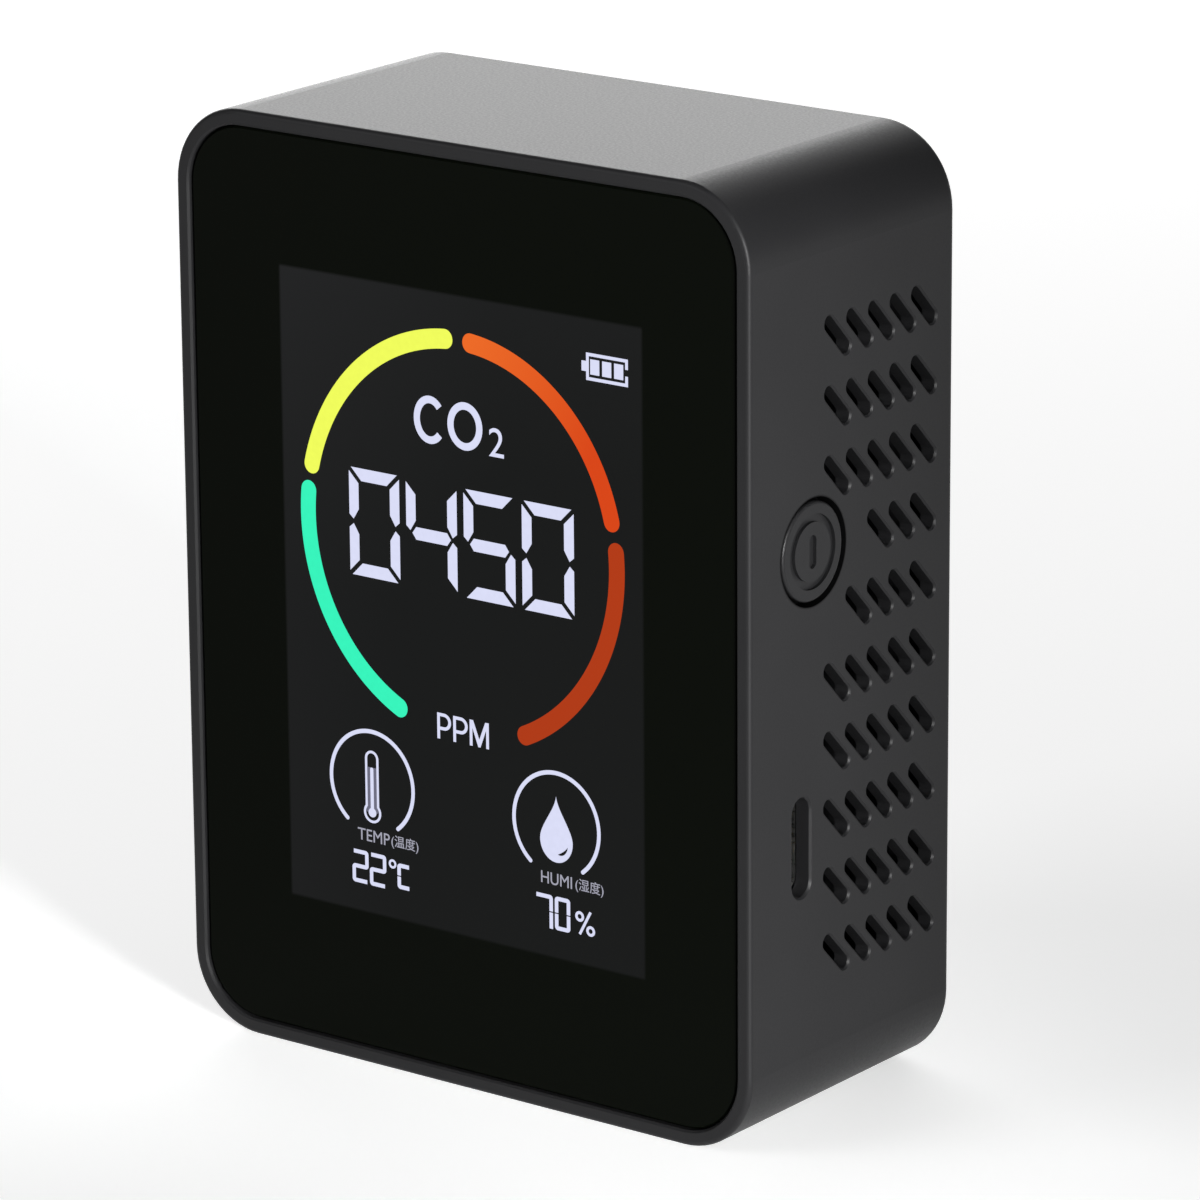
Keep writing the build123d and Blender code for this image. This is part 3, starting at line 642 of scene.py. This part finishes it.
M_LEFT, M_RIGHT = 0.84 * MM, 3.06 * MM
M_MIDDLE = (M_LEFT + M_RIGHT) / 2
M_NOTCH = 0.72 * MM
M_SLANT = 0.4 * MM
M_FOOT_HALF = 0.12 * MM
letter_m = bmesh.new()
polygon(letter_m, [
    (M_LEFT, UNIT_BOTTOM), (M_LEFT, UNIT_TOP), (M_LEFT + M_SLANT, UNIT_TOP),
    (M_MIDDLE, UNIT_BOTTOM + M_NOTCH),
    (M_RIGHT - M_SLANT, UNIT_TOP), (M_RIGHT, UNIT_TOP), (M_RIGHT, UNIT_BOTTOM),
    (M_RIGHT - UNIT_LINE, UNIT_BOTTOM), (M_RIGHT - UNIT_LINE, UNIT_TOP - M_NOTCH),
    (M_MIDDLE + M_FOOT_HALF, UNIT_BOTTOM), (M_MIDDLE - M_FOOT_HALF, UNIT_BOTTOM),
    (M_LEFT + UNIT_LINE, UNIT_TOP - M_NOTCH), (M_LEFT + UNIT_LINE, UNIT_BOTTOM),
])
finish_mark("unit_letter_m", letter_m, lit_white)


# ---- Battery mark ----
BATTERY_LINE = 0.3 * MM
BATTERY_LEFT, BATTERY_RIGHT = 14.72 * MM, 19.07 * MM
BATTERY_BOTTOM, BATTERY_TOP = 70.12 * MM, 72.35 * MM
BATTERY_MID = (BATTERY_BOTTOM + BATTERY_TOP) / 2
BATTERY_NOTCH = 0.31 * MM
line_mark("battery_outline", [[
    (BATTERY_RIGHT, BATTERY_MID + BATTERY_NOTCH), (BATTERY_RIGHT, BATTERY_TOP),
    (BATTERY_LEFT, BATTERY_TOP), (BATTERY_LEFT, BATTERY_BOTTOM),
    (BATTERY_RIGHT, BATTERY_BOTTOM), (BATTERY_RIGHT, BATTERY_MID - BATTERY_NOTCH),
]], BATTERY_LINE)
NUB_REACH = 0.51 * MM
NUB_HALF = 0.47 * MM
FIRST_CELL_LEFT = 15.03 * MM
CELL_PITCH = 1.33 * MM
CELL_WIDTH = 1.01 * MM
CELL_HALF = 0.7 * MM
battery = bmesh.new()
nub_right = BATTERY_LEFT - BATTERY_LINE / 2
panel(battery, nub_right - NUB_REACH, nub_right, BATTERY_MID - NUB_HALF, BATTERY_MID + NUB_HALF)
for cell in range(3):
    cell_left = FIRST_CELL_LEFT + CELL_PITCH * cell
    panel(battery, cell_left, cell_left + CELL_WIDTH, BATTERY_MID - CELL_HALF, BATTERY_MID + CELL_HALF)
finish_mark("battery_cells", battery, lit_white)

# ---- Temperature: ring, thermometer, label and reading ----
ICON_RADII = (4.87 * MM, 5.0 * MM)
ICON_LINE = 0.4 * MM
ICON_Z = 27.45 * MM
ICON_OPENING = 52.0
LABEL_HEIGHT = (21.65 * MM, 22.8 * MM)
NOTE_HEIGHT = (21.5 * MM, 22.85 * MM)
TEMPERATURE_X = -10.8 * MM
HUMIDITY_X = 10.75 * MM
for icon_name, icon_x in (("temperature_ring", TEMPERATURE_X), ("humidity_ring", HUMIDITY_X)):
    icon = bmesh.new()
    band(icon, (icon_x, ICON_Z), ICON_RADII, ICON_LINE, -ICON_OPENING, 180 + ICON_OPENING, 72)
    finish_mark(icon_name, icon, lit_white)

BULB_Z = 24.55 * MM
BULB_RADIUS = 0.905 * MM
STEM_RADIUS = 0.67 * MM
STEM_END_Z = 29.8 * MM
GLASS_LINE = 0.24 * MM
FILL_TOP = 28.95 * MM
COLUMN_HALF = 0.185 * MM
COLUMN_CORNER = 0.18 * MM
CORE_RADIUS = 0.45 * MM
neck = degrees(asin(STEM_RADIUS / BULB_RADIUS))
outline = [
    *arc((TEMPERATURE_X, BULB_Z), (BULB_RADIUS, BULB_RADIUS), 90 + neck, 450 - neck, 24),
    *arc((TEMPERATURE_X, STEM_END_Z), (STEM_RADIUS, STEM_RADIUS), 0, 180, 16),
]
line_mark("thermometer_outline", [outline + outline[:1]], GLASS_LINE, layer=1)

glass_fill = bmesh.new()
panel(glass_fill, TEMPERATURE_X - STEM_RADIUS, TEMPERATURE_X + STEM_RADIUS, BULB_Z, FILL_TOP)
finish_mark("thermometer_glass", glass_fill, lit_dim)

column = bmesh.new()
panel(
    column, TEMPERATURE_X - COLUMN_HALF, TEMPERATURE_X + COLUMN_HALF, BULB_Z, FILL_TOP, COLUMN_CORNER,
)
finish_mark("thermometer_column", column, lit_white, layer=2)
bulb = bmesh.new()
bmesh.ops.create_circle(bulb, cap_ends=True, segments=28, radius=CORE_RADIUS)
bmesh.ops.rotate(bulb, verts=bulb.verts[:], matrix=STAND_UP)
bmesh.ops.translate(bulb, verts=bulb.verts[:], vec=(TEMPERATURE_X, 0, BULB_Z))
finish_mark("thermometer_bulb", bulb, lit_white, layer=3)

lettering("temperature_label", "TEMP", (-12.6 * MM, -8.8 * MM), LABEL_HEIGHT, lit_label)
lettering("temperature_label_note", "(温度)", (-8.6 * MM, -5.4 * MM), NOTE_HEIGHT, lit_label)
SMALL_LINE = 0.39 * MM
SMALL_CORNER = 0.16 * MM
SMALL_GAP = 0.06 * MM
SMALL_BOTTOM, SMALL_TOP = 17.55 * MM, 20.4 * MM
SMALL_MID = (SMALL_BOTTOM + SMALL_TOP) / 2
TWO_SPANS = ((-13.13 * MM, -11.59 * MM), (-11.05 * MM, -9.47 * MM))
for place, (left, right) in enumerate(TWO_SPANS):
    line_mark(f"temperature_digit_{place + 1}", [[
        (left, SMALL_TOP), (right, SMALL_TOP), (right, SMALL_MID),
        (left, SMALL_MID), (left, SMALL_BOTTOM), (right, SMALL_BOTTOM),
    ]], SMALL_LINE, corner=SMALL_CORNER)
DEGREE_PLACE = (-8.51 * MM, 19.96 * MM)
DEGREE_RADII = (0.34 * MM, 0.34 * MM)
DEGREE_LINE = 0.22 * MM
line_mark("temperature_degree", [arc(DEGREE_PLACE, DEGREE_RADII, 0, 360, 20)], DEGREE_LINE)
UNIT_C_LINE = 0.4 * MM
UNIT_C_LEFT, UNIT_C_RIGHT = -7.74 * MM, -6.56 * MM
UNIT_C_BOTTOM, UNIT_C_TOP = 17.88 * MM, 19.97 * MM
UNIT_C_MID = (UNIT_C_BOTTOM + UNIT_C_TOP) / 2
line_mark("temperature_unit", [
    [(UNIT_C_RIGHT, UNIT_C_TOP), (UNIT_C_LEFT, UNIT_C_TOP), (UNIT_C_LEFT, UNIT_C_MID + SMALL_GAP)],
    [(UNIT_C_RIGHT, UNIT_C_BOTTOM), (UNIT_C_LEFT, UNIT_C_BOTTOM), (UNIT_C_LEFT, UNIT_C_MID - SMALL_GAP)],
], UNIT_C_LINE, corner=SMALL_CORNER)

# ---- Humidity: drop, label and reading ----
lettering("humidity_label", "HUMI", (8.95 * MM, 12.5 * MM), LABEL_HEIGHT, lit_label)
lettering("humidity_label_note", "(湿度)", (12.9 * MM, 16.1 * MM), NOTE_HEIGHT, lit_label)
SEVEN_LEFT, SEVEN_RIGHT = 8.39 * MM, 10.08 * MM
line_mark("humidity_digit_1", [
    [(SEVEN_LEFT, SMALL_TOP), (SEVEN_RIGHT, SMALL_TOP), (SEVEN_RIGHT, SMALL_MID + SMALL_GAP)],
    [(SEVEN_RIGHT, SMALL_MID - SMALL_GAP), (SEVEN_RIGHT, SMALL_BOTTOM - SMALL_LINE / 2)],
], SMALL_LINE, corner=SMALL_CORNER)
ZERO_LEFT, ZERO_RIGHT = 10.7 * MM, 12.07 * MM
line_mark("humidity_digit_2", [
    [
        (ZERO_LEFT, SMALL_MID + side * SMALL_GAP), (ZERO_LEFT, end),
        (ZERO_RIGHT, end), (ZERO_RIGHT, SMALL_MID + side * SMALL_GAP),
    ]
    for side, end in ((1, SMALL_TOP), (-1, SMALL_BOTTOM))
], SMALL_LINE, corner=SMALL_CORNER)
PERCENT_LEFT, PERCENT_RIGHT = 13.35 * MM, 14.6 * MM
PERCENT_RADII = (0.37 * MM, 0.37 * MM)
PERCENT_LINE = 0.27 * MM
line_mark("humidity_unit", [
    arc((PERCENT_LEFT, 19.2 * MM), PERCENT_RADII, 0, 360, 20),
    arc((PERCENT_RIGHT, 18.0 * MM), PERCENT_RADII, 0, 360, 20),
    [(PERCENT_LEFT, 17.5 * MM), (PERCENT_RIGHT, 19.82 * MM)],
], PERCENT_LINE)


def loop_spline(curve, spots):
    """Adds a closed Bezier loop; each spot is (x, z, in-handle x, z, out-handle x, z)."""
    spline = curve.splines.new("BEZIER")
    spline.bezier_points.add(len(spots) - 1)
    for point, spot in zip(spline.bezier_points, spots):
        point.handle_left_type = point.handle_right_type = "FREE"
        point.co = (spot[0], spot[1], 0)
        point.handle_left = (spot[2], spot[3], 0)
        point.handle_right = (spot[4], spot[5], 0)
    spline.use_cyclic_u = True


# The drop's own curve is in millimetres from its middle line, and scaled once it is a mesh
DROP_TIP = 30.2
DROP_MID = 25.96
DROP_BOTTOM = 23.87
DROP_RADIUS = 1.865
TIP_HANDLE = (0.12, 1.3)
SHOULDER_HANDLE = 1.25
ROUND_HANDLE = 0.5523
drop_curve = bpy.data.curves.new("drop", "CURVE")
drop_curve.dimensions = "2D"
drop_curve.fill_mode = "BOTH"
drop_curve.resolution_u = 16
side_bow = ROUND_HANDLE * DROP_RADIUS
deep_bow = ROUND_HANDLE * (DROP_MID - DROP_BOTTOM)
shoulder = DROP_MID + SHOULDER_HANDLE
loop_spline(drop_curve, [
    (0, DROP_TIP, -TIP_HANDLE[0], DROP_TIP - TIP_HANDLE[1], TIP_HANDLE[0], DROP_TIP - TIP_HANDLE[1]),
    (DROP_RADIUS, DROP_MID, DROP_RADIUS, shoulder, DROP_RADIUS, DROP_MID - deep_bow),
    (0, DROP_BOTTOM, side_bow, DROP_BOTTOM, -side_bow, DROP_BOTTOM),
    (-DROP_RADIUS, DROP_MID, -DROP_RADIUS, DROP_MID - deep_bow, -DROP_RADIUS, shoulder),
])
loop_spline(drop_curve, [
    (0.15, 24.66, 0.6, 24.9, 0.75, 24.42),
    (1.3, 25.6, 1.3, 25.0, 1.1, 25.2),
])
drop = upright(drop_curve)
bmesh.ops.scale(drop, verts=drop.verts[:], vec=(MM, MM, MM))
bmesh.ops.translate(drop, verts=drop.verts[:], vec=(HUMIDITY_X, 0, 0))
finish_mark("humidity_drop", drop, lit_white)

# ------------------------------------------------------------------------------------------------
# Contacts on the tongue of the charging port
# ------------------------------------------------------------------------------------------------
CONTACTS_PER_FACE = 12
CONTACT_PITCH = 0.5 * MM
CONTACT_SIZE = (3.2 * MM, 0.05 * MM, 0.26 * MM)
CONTACT_SETBACK = 2.3 * MM
CONTACT_OFF_MIDDLE = 0.36 * MM
tongue_mid = (tongue_low + tongue_high) / 2
contacts = bmesh.new()
for face in (-1, 1):
    for place in range(CONTACTS_PER_FACE):
        strip = bmesh.ops.create_cube(contacts, size=1.0)["verts"]
        bmesh.ops.scale(contacts, verts=strip, vec=CONTACT_SIZE)
        spot = (
            tongue_high.x - CONTACT_SETBACK,
            tongue_mid.y + face * CONTACT_OFF_MIDDLE,
            tongue_mid.z + (place - (CONTACTS_PER_FACE - 1) / 2) * CONTACT_PITCH,
        )
        bmesh.ops.translate(contacts, verts=strip, vec=spot)
add_piece("port_contacts", to_mesh("port_contacts", contacts), finishes["pin_brass"])

# ------------------------------------------------------------------------------------------------
# Floor, light and camera
# ------------------------------------------------------------------------------------------------
floor_shape = bmesh.new()
bmesh.ops.create_grid(floor_shape, x_segments=1, y_segments=1, size=3.0)
floor_mesh = to_mesh("floor", floor_shape)
floor = bpy.data.objects.new("floor", floor_mesh)
bpy.context.scene.collection.objects.link(floor)
floor_finish = Finish("floor_paper", srgb(244, 244, 244), 0.9, 0.1)
floor_finish.bump(floor_finish.noise(1.5 * MM, 2.0), 0.01 * MM)
floor_finish.put("Emission Color", (1, 1, 1, 1))
floor_finish.put("Emission Strength", 0.48)
floor_mesh.materials.append(floor_finish.material)


def add_light(name, place, target, size, power, spread=180):
    """A rectangular soft light; a spread below 180 degrees keeps it to a beam."""
    lamp = bpy.data.lights.new(name, "AREA")
    lamp.shape = "RECTANGLE"
    lamp.size, lamp.size_y = size
    lamp.energy = power
    lamp.spread = radians(spread)
    holder = bpy.data.objects.new(name, lamp)
    bpy.context.scene.collection.objects.link(holder)
    holder.location = place
    holder.rotation_mode = "QUATERNION"
    holder.rotation_quaternion = (Vector(target) - Vector(place)).to_track_quat("-Z", "Y")


MIDDLE = (0, 0, 0.045)
add_light("back_light", (-0.9, 1.1, 0.42), MIDDLE, (1.6, 0.7), 17.4)
add_light("front_light", (-0.7, -1.0, 0.7), MIDDLE, (0.7, 0.7), 4.2)
add_light("side_strip", (0.24, -0.13, 0.08), (0.033, -0.028, 0.05), (0.06, 0.4), 0.26, spread=26)

world = bpy.data.worlds.new("studio")
world.use_nodes = True
world.node_tree.nodes["Background"].inputs["Color"].default_value = (1, 1, 1, 1)
world.node_tree.nodes["Background"].inputs["Strength"].default_value = 0.125
bpy.context.scene.world = world
bpy.context.scene.view_settings.view_transform = "Standard"

CAMERA_PLACE = Vector((0.37196, -0.48603, 0.22284))
CAMERA_YAW = radians(37.122)
CAMERA_PITCH = radians(16.321)
CAMERA_ROLL = radians(-0.407)
CAMERA_LENS = 205.25
CAMERA_SENSOR = 36.0
camera_data = bpy.data.cameras.new("camera")
camera_data.lens = CAMERA_LENS
camera_data.sensor_width = CAMERA_SENSOR
camera = bpy.data.objects.new("camera", camera_data)
bpy.context.scene.collection.objects.link(camera)
forward = Vector((
    -sin(CAMERA_YAW) * cos(CAMERA_PITCH),
    cos(CAMERA_YAW) * cos(CAMERA_PITCH),
    -sin(CAMERA_PITCH),
))
aim = forward.to_track_quat("-Z", "Y") @ Matrix.Rotation(CAMERA_ROLL, 3, "Z").to_quaternion()
camera.rotation_mode = "QUATERNION"
camera.location = CAMERA_PLACE
camera.rotation_quaternion = aim
bpy.context.scene.camera = camera
